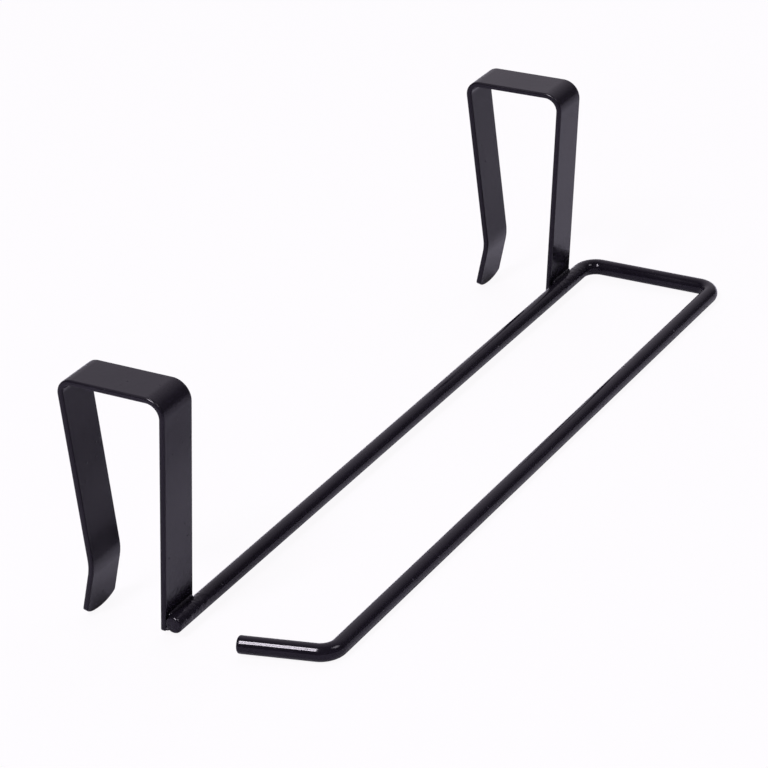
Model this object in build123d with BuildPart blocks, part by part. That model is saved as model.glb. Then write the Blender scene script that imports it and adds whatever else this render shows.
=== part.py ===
"""Over-cabinet towel bar: two bent strip hooks and an open loop of round bar, welded together.

Units are millimetres. +Z is up and +X runs along the bar. The bar is on the -Y side, in front of the
door, and the door stands between the legs of the hooks. The origin is half-way between the hooks, in the
inside corner where their tops turn down into the front legs.
"""

import os
from math import cos, radians, sin, sqrt, tan

from build123d import *

# Flat strip of the hooks
strip_width = 14.0
strip_thickness = 1.6
strip_edge_round = 0.5

# Form of a hook, measured on the faces that touch the door
hook_spacing = 234.0
top_gap = 31.9
leg_lean = 4.8
kink_depth = 57.2
lip_drop = 16.3
lip_flare = 4.0
lip_bow = 3.5
lip_bow_overlap = 0.3
front_bend_radius = 4.8
back_bend_radius = 3.9
kink_radius = 16.0
foot_reach = 0.3

# Round bar of the loop
bar_diameter = 5.0
bar_down_leg = 68.5
bar_bend_radius = 5.7
bar_end_round = 0.6
loop_depth = 47.2
loop_overhang = 16.1
stub_setback = 6.3
stub_length = 26.5
stub_angle = 14.6

# Weld beads
weld_length = 11.6
weld_end_taper = 0.6
weld_seat_radius = 0.4
weld_melt = 0.5


def beside_front_leg(down, out):
    """Y and Z of a point so far down a front leg and so far out from its inner face."""
    lean = radians(leg_lean)
    return down * sin(lean) - out * cos(lean), -down * cos(lean) - out * sin(lean)


# Places worked out from the sizes
hook_x = hook_spacing / 2
half_width = strip_width / 2
bow_half_width = half_width + lip_bow_overlap
mid_thickness = strip_thickness / 2
bar_radius = bar_diameter / 2
corner_reach = mid_thickness * tan(radians(45 + leg_lean / 2))
back_corner_y = top_gap + corner_reach
kink_y = back_corner_y - (mid_thickness + kink_depth) * tan(radians(leg_lean))
foot_y, foot_z = beside_front_leg(bar_down_leg + bar_radius + foot_reach, mid_thickness)
rear_run_y, bar_z = beside_front_leg(bar_down_leg, strip_thickness + bar_radius)
front_run_y = rear_run_y - loop_depth
bar_start_x = -hook_x - half_width
cross_run_x = hook_x + loop_overhang
stub_corner_x = bar_start_x + stub_setback
stub_end_x = stub_corner_x - stub_length * sin(radians(stub_angle))
stub_end_y = front_run_y + stub_length * cos(radians(stub_angle))
bead_radius = weld_seat_radius + weld_melt
bead_down_leg = bar_down_leg - 2 * sqrt(bar_radius * weld_seat_radius)
bead_y, bead_z = beside_front_leg(bead_down_leg, strip_thickness + weld_seat_radius)

os.makedirs("parts", exist_ok=True)

# The loop: a rear run along the feet of the hooks, a cross run, a front run and a free stub
with BuildPart() as towel_bar:
    with BuildLine(Plane.XY.offset(bar_z)) as bar_path:
        FilletPolyline(
            (bar_start_x, rear_run_y),
            (cross_run_x, rear_run_y),
            (cross_run_x, front_run_y),
            (stub_corner_x, front_run_y),
            (stub_end_x, stub_end_y),
            radius=bar_bend_radius,
        )
    with BuildSketch(Plane(origin=bar_path.line @ 0, z_dir=bar_path.line % 0)):
        Circle(bar_radius)
    sweep(path=bar_path.line)
    fillet(towel_bar.faces().filter_by(GeomType.PLANE).edges(), bar_end_round)
towel_bar.part.label = "towel_bar"
export_step(towel_bar.part, "parts/towel_bar.step")

for side, centre_x in (("left", -hook_x), ("right", hook_x)):
    # One strip, bent over the door's edge with both legs leaning in, then kinked out to a lip
    with BuildPart() as hook:
        with BuildLine(Plane.YZ.offset(centre_x)) as strip_path:
            FilletPolyline(
                (foot_y, foot_z),
                (-corner_reach, mid_thickness),
                (back_corner_y, mid_thickness),
                (kink_y, -kink_depth),
                (kink_y + lip_flare, -kink_depth - lip_drop),
                radius=(front_bend_radius, back_bend_radius, kink_radius),
            )
        foot_plane = Plane(origin=strip_path.line @ 0, x_dir=(1, 0, 0), z_dir=strip_path.line % 0)
        with BuildSketch(foot_plane):
            RectangleRounded(strip_width, strip_thickness, strip_edge_round)
        sweep(path=strip_path.line)

        # The lip's end is cut to half an ellipse that reaches just past the strip's sides
        lip_normal = Vector(1, 0, 0).cross(strip_path.line % 1)
        with BuildSketch(Plane(origin=strip_path.line @ 1, x_dir=(1, 0, 0), z_dir=lip_normal)):
            with BuildLine():
                bow = EllipticalCenterArc((0, -lip_bow), bow_half_width, lip_bow, arc_size=180)
                Polyline(bow @ 1, (-bow_half_width, strip_width), (bow_half_width, strip_width), bow @ 0)
            make_face()
        extrude(amount=strip_thickness, both=True, mode=Mode.SUBTRACT)
    hook.part.label = f"{side}_hook"
    export_step(hook.part, f"parts/{side}_hook.step")

    # A bead laid in the notch above the bar, melted a little into the strip and the bar
    with BuildPart() as weld:
        with Locations((centre_x, bead_y, bead_z)):
            Cylinder(bead_radius, weld_length, rotation=(0, 90, 0))
        chamfer(weld.edges().filter_by(GeomType.CIRCLE), weld_end_taper)
        add(towel_bar.part, mode=Mode.SUBTRACT)
        add(hook.part, mode=Mode.SUBTRACT)
    weld.part.label = f"{side}_weld"
    export_step(weld.part, f"parts/{side}_weld.step")
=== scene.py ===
"""Looks of an over-cabinet towel bar: two bent strip hooks welded to a loop of round bar, coated black.

Units are metres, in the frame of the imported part: +Z is up, +X runs along the bar and the bar is on the
-Y side. Each piece is drawn, bent and welded here as the real one is, with the finish that its coat has.
"""

from math import atan2, cos, pi, radians, sin, sqrt, tan
from random import Random

import bmesh
import bpy
from mathutils import Matrix, Quaternion, Vector


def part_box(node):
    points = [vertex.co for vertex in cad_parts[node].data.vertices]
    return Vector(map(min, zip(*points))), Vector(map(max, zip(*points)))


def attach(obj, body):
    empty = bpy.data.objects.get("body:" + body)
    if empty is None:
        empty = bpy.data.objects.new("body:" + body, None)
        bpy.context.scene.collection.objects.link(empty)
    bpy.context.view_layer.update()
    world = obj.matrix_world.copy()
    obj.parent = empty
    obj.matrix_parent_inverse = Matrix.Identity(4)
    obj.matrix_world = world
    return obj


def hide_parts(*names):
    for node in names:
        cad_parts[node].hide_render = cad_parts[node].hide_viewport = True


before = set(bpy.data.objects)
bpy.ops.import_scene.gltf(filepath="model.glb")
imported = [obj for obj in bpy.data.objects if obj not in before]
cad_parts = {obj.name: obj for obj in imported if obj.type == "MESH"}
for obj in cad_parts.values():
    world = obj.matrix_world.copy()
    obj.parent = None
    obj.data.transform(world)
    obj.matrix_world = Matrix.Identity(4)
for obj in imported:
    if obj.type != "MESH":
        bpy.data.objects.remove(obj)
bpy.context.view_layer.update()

MM = 0.001
X_AXIS = Vector((1, 0, 0))
Z_AXIS = Vector((0, 0, 1))

# Sizes of the round bar, read from the frame where a box can give them
bar_low, bar_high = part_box("towel_bar")
BAR_RADIUS = (bar_high.z - bar_low.z) / 2
BAR_Z = bar_low.z + BAR_RADIUS
REAR_RUN_Y = bar_high.y - BAR_RADIUS
FRONT_RUN_Y = bar_low.y + BAR_RADIUS
CROSS_RUN_X = bar_high.x - BAR_RADIUS
BAR_BEND_RADIUS = 5.7 * MM
BAR_END_ROUND = 0.6 * MM
STUB_SETBACK = 6.3 * MM
STUB_LENGTH = 26.5 * MM
STUB_ANGLE = radians(14.6)

# Sizes of a strip hook
hook_low, hook_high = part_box("left_hook")
HOOK_X = (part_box("right_hook")[0].x - hook_low.x) / 2
STRIP_WIDTH = hook_high.x - hook_low.x
STRIP_THICKNESS = hook_high.z
STRIP_EDGE_ROUND = 0.5 * MM
STRIP_END_ROUND = 0.3 * MM
TOP_GAP = 31.9 * MM
LEG_LEAN = radians(4.8)
KINK_DEPTH = 57.2 * MM
LIP_DROP = 16.3 * MM
LIP_FLARE = 4.0 * MM
LIP_BOW = 3.5 * MM
LIP_BOW_OVERLAP = 0.3 * MM
FRONT_BEND_RADIUS = 4.8 * MM
BACK_BEND_RADIUS = 3.9 * MM
KINK_RADIUS = 16.0 * MM
FOOT_REACH = 0.3 * MM

# A front leg's own space: -Z runs down the leg from the inside corner and -Y out of its front face
LEG_SPACE = Matrix.Rotation(LEG_LEAN, 4, "X")
BAR_DOWN_LEG = -(LEG_SPACE.inverted() @ Vector((0, REAR_RUN_Y, BAR_Z))).z

# Sizes of a weld bead above the bar, and of the bridge of coat in the notch below it
weld_low, weld_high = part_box("left_weld")
WELD_LENGTH = weld_high.x - weld_low.x
WELD_SEAT_RADIUS = 0.4 * MM
WELD_RADIUS = 0.9 * MM
WELD_TIP = 0.4
WELD_FULLNESS = 3
WELD_RIPPLES = 6
WELD_RIPPLE_DEPTH = 0.07
WELD_WANDER = 0.015
WELD_SEED = 7
WELD_RINGS = 60
WELD_SIDES = 24
BRIDGE_SETBACK = 0.2 * MM
BRIDGE_LENGTH = STRIP_WIDTH - 2 * BRIDGE_SETBACK
BRIDGE_RIPPLES = 0
ABOVE_BAR = 1
BELOW_BAR = -1

# Thickness of the powder coat over the bare steel
COAT_FILM = 0.09 * MM

# Fineness of the meshes
BAR_SIDES = 48
BEND_STEPS = 20
EDGE_SEGMENTS = 5
END_SEGMENTS = 4
STRIP_CUTS = 14
ROUND_PROFILE = 0.5
SHARP_ANGLE = radians(40)

# Short runs beside the bends and the cut ends, which keep the shading of the long runs even
HOLD = 0.25 * MM
END_HOLD = 0.9 * MM


def finished(name, shape, material):
    """Lays the coat's film over a bare shape and makes it a piece that rides on the part's only body."""
    bmesh.ops.recalc_face_normals(shape, faces=shape.faces)
    shape.normal_update()
    for point in shape.verts:
        point.co += point.normal * COAT_FILM
    for face in shape.faces:
        face.smooth = True
    for edge in shape.edges:
        edge.smooth = edge.calc_face_angle(0) < SHARP_ANGLE
    mesh = bpy.data.meshes.new(name)
    shape.to_mesh(mesh)
    shape.free()
    mesh.materials.append(material)
    piece = bpy.data.objects.new(name, mesh)
    bpy.context.scene.collection.objects.link(piece)
    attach(piece, "root")
    return piece


def push(shape, section, travel):
    """Draws a section straight on and gives the section at the far end."""
    inside = any(len(edge.link_faces) > 1 for edge in section.edges)
    drawn = bmesh.ops.extrude_face_region(shape, geom=[section])["geom"]
    points = [item for item in drawn if isinstance(item, bmesh.types.BMVert)]
    bmesh.ops.translate(shape, verts=points, vec=travel)
    if inside:
        bmesh.ops.delete(shape, geom=[section], context="FACES_ONLY")
    return next(item for item in drawn if isinstance(item, bmesh.types.BMFace))


def bend(shape, section, centre, axis, turn):
    """Draws a section round a bend and gives the section at the far end."""
    swung = bmesh.ops.spin(
        shape,
        geom=[section, *section.edges, *section.verts],
        cent=centre,
        axis=axis,
        angle=turn,
        steps=BEND_STEPS,
        use_duplicate=False,
    )["geom_last"]
    return next(item for item in swung if isinstance(item, bmesh.types.BMFace))


def draw_along(shape, section, corners, radii):
    """Draws a section along straight runs and round the bends between them."""
    section = push(shape, section, (corners[1] - corners[0]).normalized() * END_HOLD)
    spent = END_HOLD
    for index, radius in enumerate(radii, start=1):
        run = corners[index] - corners[index - 1]
        heading = run.normalized()
        next_heading = (corners[index + 1] - corners[index]).normalized()
        turn = heading.angle(next_heading)
        bend_reach = radius * tan(turn / 2)
        section = push(shape, section, heading * HOLD)
        section = push(shape, section, heading * (run.length - spent - bend_reach - 2 * HOLD))
        section = push(shape, section, heading * HOLD)
        axis = heading.cross(next_heading).normalized()
        centre = corners[index] - heading * bend_reach + axis.cross(heading) * radius
        section = bend(shape, section, centre, axis, turn)
        spent = bend_reach
    last_run = corners[-1] - corners[-2]
    heading = last_run.normalized()
    section = push(shape, section, heading * HOLD)
    section = push(shape, section, heading * (last_run.length - spent - HOLD - END_HOLD))
    push(shape, section, heading * END_HOLD)


def round_ends(shape, section_sides, amount):
    """Rounds the rims of the cut ends, the only faces with as many corners as the section."""
    ends = [face for face in shape.faces if len(face.verts) == section_sides]
    bmesh.ops.bevel(
        shape,
        geom=[edge for end in ends for edge in end.edges],
        offset=amount,
        segments=END_SEGMENTS,
        profile=ROUND_PROFILE,
        affect="EDGES",
        material=-1,
    )


def make_bar(material):
    """The open loop: rear run, cross run, front run and the free stub, bent from one round bar."""
    start = Vector((hook_low.x, REAR_RUN_Y, BAR_Z))
    stub_corner = Vector((hook_low.x + STUB_SETBACK, FRONT_RUN_Y, BAR_Z))
    corners = [
        start,
        Vector((CROSS_RUN_X, REAR_RUN_Y, BAR_Z)),
        Vector((CROSS_RUN_X, FRONT_RUN_Y, BAR_Z)),
        stub_corner,
        stub_corner + Vector((-sin(STUB_ANGLE), cos(STUB_ANGLE), 0)) * STUB_LENGTH,
    ]
    shape = bmesh.new()
    place = Matrix.Translation(start) @ Matrix.Rotation(pi / 2, 4, "Y")
    bmesh.ops.create_circle(shape, cap_ends=True, segments=BAR_SIDES, radius=BAR_RADIUS, matrix=place)
    draw_along(shape, shape.faces[:][0], corners, [BAR_BEND_RADIUS] * (len(corners) - 2))
    round_ends(shape, BAR_SIDES, BAR_END_ROUND)
    piece = finished("bent_bar", shape, material)
    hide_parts("towel_bar")


def make_hook(side, centre_x, material):
    """One strip, bent over the door's edge with both legs leaning in, then kinked out to a bowed lip."""
    middle = STRIP_THICKNESS / 2
    half_width = STRIP_WIDTH / 2
    corner_reach = middle * tan(pi / 4 + LEG_LEAN / 2)
    back_corner_y = TOP_GAP + corner_reach
    kink = Vector((centre_x, back_corner_y - (middle + KINK_DEPTH) * tan(LEG_LEAN), -KINK_DEPTH))
    corners = [
        LEG_SPACE @ Vector((centre_x, -middle, -BAR_DOWN_LEG - BAR_RADIUS - FOOT_REACH)),
        Vector((centre_x, -corner_reach, middle)),
        Vector((centre_x, back_corner_y, middle)),
        kink,
        kink + Vector((0, LIP_FLARE, -LIP_DROP)),
    ]
    shape = bmesh.new()
    section_size = Matrix.Diagonal((half_width, middle, 1, 1))
    section_place = Matrix.Translation(corners[0]) @ LEG_SPACE @ section_size
    bmesh.ops.create_grid(shape, x_segments=1, y_segments=1, size=1, matrix=section_place)
    bmesh.ops.bevel(
        shape,
        geom=shape.verts[:],
        offset=STRIP_EDGE_ROUND,
        segments=EDGE_SEGMENTS,
        profile=ROUND_PROFILE,
        affect="VERTICES",
        material=-1,
    )
    section_sides = len(shape.verts)
    draw_along(shape, shape.faces[:][0], corners, [FRONT_BEND_RADIUS, BACK_BEND_RADIUS, KINK_RADIUS])
    round_ends(shape, section_sides, STRIP_END_ROUND)

    # Lengthwise cuts carry the bow of the lip's end and keep the strip's faces flat
    flat_half = half_width - STRIP_EDGE_ROUND - HOLD
    for cut in range(STRIP_CUTS + 1):
        cut_x = centre_x - flat_half + 2 * flat_half * cut / STRIP_CUTS
        bmesh.ops.bisect_plane(
            shape,
            geom=[*shape.verts, *shape.edges, *shape.faces],
            plane_co=(cut_x, 0, 0),
            plane_no=X_AXIS,
        )

    # The lip's end, with the short run beside it, is bowed to half an ellipse
    lip_heading = (corners[-1] - corners[-2]).normalized()
    bow_reach = 2 * END_HOLD
    for point in shape.verts:
        if (point.co - corners[-1]).dot(lip_heading) > -bow_reach:
            across = (point.co.x - centre_x) / (half_width + LIP_BOW_OVERLAP)
            point.co -= lip_heading * LIP_BOW * (1 - sqrt(1 - across ** 2))
    piece = finished(f"{side}_strip", shape, material)
    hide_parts(f"{side}_hook")


def notch_place(centre_x, side_of_bar):
    """The middle of a round fill in the notch above or below the bar, where it meets the front leg."""
    down_leg = BAR_DOWN_LEG - side_of_bar * 2 * sqrt(BAR_RADIUS * WELD_SEAT_RADIUS)
    return LEG_SPACE @ Vector((centre_x, -STRIP_THICKNESS - WELD_SEAT_RADIUS, -down_leg))


def fill_notch(shape, middle, length, ripples):
    """Lays a bead along a notch, thin at both ends, with so many ripples."""
    place = Matrix.Translation(middle - X_AXIS * length / 2) @ Matrix.Rotation(pi / 2, 4, "Y")
    ring = bmesh.ops.create_circle(
        shape, cap_ends=True, segments=WELD_SIDES, radius=WELD_RADIUS * WELD_TIP, matrix=place
    )
    section = ring["verts"][0].link_faces[0]
    draws = Random(WELD_SEED)
    size_before = WELD_TIP
    for step in range(1, WELD_RINGS + 1):
        share = step / WELD_RINGS
        swell = WELD_TIP + (1 - WELD_TIP) * sqrt(1 - abs(2 * share - 1) ** WELD_FULLNESS)
        dip = WELD_RIPPLE_DEPTH * (1 - abs(sin(share * pi * ripples)))
        size = swell * (1 - dip + draws.uniform(-WELD_WANDER, WELD_WANDER))
        section = push(shape, section, X_AXIS * (length / WELD_RINGS))
        bmesh.ops.scale(
            shape,
            vec=Vector((1, 1, 1)) * (size / size_before),
            space=Matrix.Translation(-section.calc_center_median()),
            verts=section.verts[:],
        )
        size_before = size


def make_weld(side, centre_x, material):
    """The weld bead above the bar, and the coat that bridges the narrow notch below it."""
    shape = bmesh.new()
    fill_notch(shape, notch_place(centre_x, ABOVE_BAR), WELD_LENGTH, WELD_RIPPLES)
    fill_notch(shape, notch_place(centre_x, BELOW_BAR), BRIDGE_LENGTH, BRIDGE_RIPPLES)
    piece = finished(f"{side}_bead", shape, material)
    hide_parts(f"{side}_weld")


# Black powder coat
NOISE_RANGE = (0.3, 0.7)
BLACK_DEEP = (0.0075, 0.0058, 0.0105, 1)
BLACK_SOFT = (0.0105, 0.0085, 0.0140, 1)
COAT_SPECULAR = 0.18
COAT_TINT = (0.95, 0.89, 1.0, 1)
CLOUD_SCALE = 90
CLOUD_DETAIL = 3
STREAK_SCALE = 1
STREAK_STRETCH = (1600, 25, 25)
FINE_DETAIL = 2
PEEL_SCALE = 900
GRAIN_CELLS = 400
GRAIN_REACH = 0.13
GRAIN_CHOICE = (0.6, 0.7)
GRAIN_DEPTH = 0.25 * MM
SPATTER_SCALE = 700
SPATTER_NEAR = 5 * MM
SPATTER_FAR = 13 * MM


class Coat:
    """Help with the nodes of one coat material, all of them in the piece's own space."""

    def __init__(self, name):
        self.material = bpy.data.materials.new(name)
        self.material.use_nodes = True
        self.tree = self.material.node_tree
        self.shader = self.tree.nodes["Principled BSDF"]
        self.place = self.tree.nodes.new("ShaderNodeTexCoord").outputs["Object"]

    def link(self, source, target):
        """Joins an output to an input."""
        self.tree.links.new(source, target)

    def noise(self, scale, detail, stretch=(1, 1, 1)):
        """Noise that is drawn out along an axis where the stretch is small."""
        mapping = self.tree.nodes.new("ShaderNodeMapping")
        mapping.inputs["Scale"].default_value = stretch
        self.link(self.place, mapping.inputs["Vector"])
        noise = self.tree.nodes.new("ShaderNodeTexNoise")
        noise.inputs["Scale"].default_value = scale
        noise.inputs["Detail"].default_value = detail
        self.link(mapping.outputs["Vector"], noise.inputs["Vector"])
        return noise.outputs["Fac"]

    def spread(self, source, start, end, low, high):
        """Maps a value from one range to another and holds it there."""
        mapped = self.tree.nodes.new("ShaderNodeMapRange")
        mapped.inputs["From Min"].default_value = start
        mapped.inputs["From Max"].default_value = end
        mapped.inputs["To Min"].default_value = low
        mapped.inputs["To Max"].default_value = high
        self.link(source, mapped.inputs["Value"])
        return mapped.outputs["Result"]

    def tint(self, source, low, high):
        """Blends two colours by a noise."""
        ramp = self.tree.nodes.new("ShaderNodeValToRGB")
        for element, position, colour in zip(ramp.color_ramp.elements, NOISE_RANGE, (low, high)):
            element.position = position
            element.color = colour
        self.link(source, ramp.inputs["Fac"])
        return ramp.outputs["Color"]

    def near_welds(self):
        """One at the weld beads, falling to nothing a short way from them."""
        mirrored = self.tree.nodes.new("ShaderNodeVectorMath")
        mirrored.operation = "ABSOLUTE"
        self.link(self.place, mirrored.inputs[0])
        away = self.tree.nodes.new("ShaderNodeVectorMath")
        away.operation = "DISTANCE"
        self.link(mirrored.outputs["Vector"], away.inputs[0])
        away.inputs[1].default_value = [abs(value) for value in notch_place(HOOK_X, ABOVE_BAR)]
        return self.spread(away.outputs["Value"], SPATTER_NEAR, SPATTER_FAR, 1, 0)

    def grains(self):
        """One on a few small round grains under the coat, nothing beside them."""
        cells = self.tree.nodes.new("ShaderNodeTexVoronoi")
        cells.inputs["Scale"].default_value = GRAIN_CELLS
        self.link(self.place, cells.inputs["Vector"])
        domes = self.spread(cells.outputs["Distance"], 0, GRAIN_REACH, 1, 0)
        chosen = self.spread(cells.outputs["Color"], *GRAIN_CHOICE, 0, 1)
        return self.product(domes, chosen)

    def bump(self, height, depth, under=None):
        """Raises the surface by a height of up to so many metres."""
        raised = self.tree.nodes.new("ShaderNodeBump")
        raised.inputs["Distance"].default_value = depth
        self.link(height, raised.inputs["Height"])
        if under is not None:
            self.link(under, raised.inputs["Normal"])
        return raised.outputs["Normal"]

    def product(self, first, second):
        """Multiplies two values."""
        multiplied = self.tree.nodes.new("ShaderNodeMath")
        multiplied.operation = "MULTIPLY"
        self.link(first, multiplied.inputs[0])
        self.link(second, multiplied.inputs[1])
        return multiplied.outputs["Value"]


def make_coat(name, streaked, peel_depth, lump_depth, roughness_range):
    """Semi-gloss black powder coat with orange peel, cloudy gloss, grains and lumps near the welds.

    A streaked coat also has faint streaks along the strip.
    """
    coat = Coat(name)
    coat.shader.inputs["Specular IOR Level"].default_value = COAT_SPECULAR
    coat.shader.inputs["Specular Tint"].default_value = COAT_TINT
    clouds = coat.noise(CLOUD_SCALE, CLOUD_DETAIL)
    tone = coat.noise(STREAK_SCALE, FINE_DETAIL, STREAK_STRETCH) if streaked else clouds
    coat.link(coat.tint(tone, BLACK_DEEP, BLACK_SOFT), coat.shader.inputs["Base Color"])
    roughness = coat.spread(clouds, *NOISE_RANGE, *roughness_range)
    coat.link(roughness, coat.shader.inputs["Roughness"])
    peel = coat.bump(coat.noise(PEEL_SCALE, FINE_DETAIL), peel_depth)
    spatter = coat.product(coat.noise(SPATTER_SCALE, FINE_DETAIL), coat.near_welds())
    lumps = coat.bump(spatter, lump_depth, peel)
    coat.link(coat.bump(coat.grains(), GRAIN_DEPTH, lumps), coat.shader.inputs["Normal"])
    return coat.material


# The pale floor, as it shows to the camera and in the gloss of the coat
FLOOR_REACH = 8.0
FLOOR_COLOUR = (0.86, 0.82, 0.97, 1)
FLOOR_GLOW = (1.0, 0.985, 1.0, 1)
FLOOR_GLOW_SEEN = 0.94
FLOOR_GLOW_IN_GLOSS = 0.1


def make_floor_paint():
    """Pale paint under an even glow, of which the camera sees nearly all and the coat's gloss a little."""
    material = bpy.data.materials.new("pale_floor")
    material.use_nodes = True
    nodes = material.node_tree.nodes
    links = material.node_tree.links
    nodes.remove(nodes["Principled BSDF"])
    paint = nodes.new("ShaderNodeBsdfDiffuse")
    paint.inputs["Color"].default_value = FLOOR_COLOUR
    glow = nodes.new("ShaderNodeEmission")
    glow.inputs["Color"].default_value = FLOOR_GLOW
    rays = nodes.new("ShaderNodeLightPath")
    shares = {
        "Is Camera Ray": FLOOR_GLOW_SEEN,
        "Is Transmission Ray": FLOOR_GLOW_SEEN,
        "Is Glossy Ray": FLOOR_GLOW_IN_GLOSS,
    }
    glow_share = None
    for kind, amount in shares.items():
        share = nodes.new("ShaderNodeMath")
        share.operation = "MULTIPLY"
        share.inputs[1].default_value = amount
        links.new(rays.outputs[kind], share.inputs[0])
        if glow_share is None:
            glow_share = share.outputs["Value"]
            continue
        larger = nodes.new("ShaderNodeMath")
        larger.operation = "MAXIMUM"
        links.new(glow_share, larger.inputs[0])
        links.new(share.outputs["Value"], larger.inputs[1])
        glow_share = larger.outputs["Value"]
    mixed = nodes.new("ShaderNodeMixShader")
    links.new(glow_share, mixed.inputs["Fac"])
    links.new(paint.outputs["BSDF"], mixed.inputs[1])
    links.new(glow.outputs["Emission"], mixed.inputs[2])
    links.new(mixed.outputs["Shader"], nodes["Material Output"].inputs["Surface"])
    return material


def make_floor():
    """A floor that touches the lips of the hooks and the underside of the front run."""
    lip_low = Vector((0, hook_high.y - STRIP_THICKNESS, hook_low.z))
    front_low = Vector((0, FRONT_RUN_Y, bar_low.z))
    rise = front_low - lip_low
    tilt = atan2(rise.z, -rise.y)
    shape = bmesh.new()
    place = Matrix.Translation(lip_low) @ Matrix.Rotation(-tilt, 4, "X")
    bmesh.ops.create_grid(shape, x_segments=1, y_segments=1, size=FLOOR_REACH, matrix=place)
    mesh = bpy.data.meshes.new("floor")
    shape.to_mesh(mesh)
    shape.free()
    mesh.materials.append(make_floor_paint())
    floor = bpy.data.objects.new("floor", mesh)
    bpy.context.scene.collection.objects.link(floor)


# Lamps: a key and a fill light the floor and the coat's own black, two softboxes show only in its gloss
KEY_SIDE = Vector((-0.60, 0.10, 0.79))
FILL_SIDE = Vector((0.55, 0.1, 0.83))
FRONT_SIDE = Vector((0.11, -0.62, 0.77))
SOFTBOX_SPIN = 0.34


def make_lamp(name, direction, distance, width, height, radiance, in_gloss, spin=0.0):
    """A soft area lamp that looks at the object and lights either gloss alone or paint alone."""
    light = bpy.data.lights.new(name, "AREA")
    light.shape = "RECTANGLE"
    light.size = width
    light.size_y = height
    light.energy = radiance * pi * width * height
    lamp = bpy.data.objects.new(name, light)
    lamp.location = direction.normalized() * distance
    lamp.rotation_euler = (direction.to_track_quat("Z", "Y") @ Quaternion(Z_AXIS, spin)).to_euler()
    lamp.visible_camera = False
    lamp.visible_glossy = in_gloss
    lamp.visible_diffuse = not in_gloss
    bpy.context.scene.collection.objects.link(lamp)


# The dim room and its brighter side, overhead on the right, whose edge fades between two cosines
ROOM_COLOUR = (0.95, 0.89, 1.0, 1)
ROOM_LEVEL = 0.15
ROOM_BRIGHT_LEVEL = 0.85
ROOM_BRIGHT_SIDE = Vector((0.66, 0.36, 0.60))
ROOM_BRIGHT_SPREAD = (0.62, 0.95)


def make_room():
    """A dim room with a brighter side."""
    world = bpy.data.worlds.new("room")
    bpy.context.scene.world = world
    world.use_nodes = True
    nodes = world.node_tree.nodes
    links = world.node_tree.links
    direction = nodes.new("ShaderNodeTexCoord").outputs["Generated"]
    towards = nodes.new("ShaderNodeVectorMath")
    towards.operation = "DOT_PRODUCT"
    towards.inputs[1].default_value = ROOM_BRIGHT_SIDE.normalized()
    links.new(direction, towards.inputs[0])
    level = nodes.new("ShaderNodeMapRange")
    level.inputs["From Min"].default_value = ROOM_BRIGHT_SPREAD[0]
    level.inputs["From Max"].default_value = ROOM_BRIGHT_SPREAD[1]
    level.inputs["To Min"].default_value = ROOM_LEVEL
    level.inputs["To Max"].default_value = ROOM_BRIGHT_LEVEL
    links.new(towards.outputs["Value"], level.inputs["Value"])
    links.new(level.outputs["Result"], nodes["Background"].inputs["Strength"])
    nodes["Background"].inputs["Color"].default_value = ROOM_COLOUR


# The photograph's view, from the left and above
CAMERA_AZIMUTH = radians(-58.996)
CAMERA_ELEVATION = radians(27.143)
CAMERA_ROLL = radians(2.937)
CAMERA_TARGET = Vector((3.346, 6.332, -54.278)) * MM
CAMERA_DISTANCE = 958.53 * MM
FRAME_PIXELS = 768
FOCAL_PIXELS = 3136.5


def make_camera():
    """A long-lens camera that looks at the object as the photograph does."""
    camera = bpy.data.cameras.new("camera")
    camera.lens = camera.sensor_width * FOCAL_PIXELS / FRAME_PIXELS
    viewer = bpy.data.objects.new("camera", camera)
    turn = (
        Matrix.Rotation(CAMERA_AZIMUTH, 4, "Z")
        @ Matrix.Rotation(pi / 2 - CAMERA_ELEVATION, 4, "X")
        @ Matrix.Rotation(-CAMERA_ROLL, 4, "Z")
    )
    back_off = Matrix.Translation(Z_AXIS * CAMERA_DISTANCE)
    viewer.matrix_world = Matrix.Translation(CAMERA_TARGET) @ turn @ back_off
    bpy.context.scene.collection.objects.link(viewer)
    bpy.context.scene.camera = viewer


strip_coat = make_coat(
    "strip_coat", streaked=True, peel_depth=0.02 * MM, lump_depth=0.1 * MM, roughness_range=(0.20, 0.27)
)
bar_coat = make_coat(
    "bar_coat", streaked=False, peel_depth=0.006 * MM, lump_depth=0.3 * MM, roughness_range=(0.10, 0.15)
)
bead_coat = make_coat(
    "bead_coat", streaked=False, peel_depth=0.05 * MM, lump_depth=0.3 * MM, roughness_range=(0.16, 0.24)
)

make_bar(bar_coat)
for side, centre_x in (("left", -HOOK_X), ("right", HOOK_X)):
    make_hook(side, centre_x, strip_coat)
    make_weld(side, centre_x, bead_coat)

make_floor()
make_lamp("key", KEY_SIDE, distance=1.5, width=0.3, height=0.5, radiance=30, in_gloss=False)
make_lamp("fill", FILL_SIDE, distance=1.2, width=1.0, height=1.0, radiance=1.7, in_gloss=False)
make_lamp(
    "softbox",
    KEY_SIDE,
    distance=1.5,
    width=0.35,
    height=0.8,
    radiance=75,
    in_gloss=True,
    spin=SOFTBOX_SPIN,
)
make_lamp("front_softbox", FRONT_SIDE, distance=1.5, width=0.5, height=0.5, radiance=9, in_gloss=True)
make_room()
make_camera()
bpy.context.scene.view_settings.view_transform = "Standard"
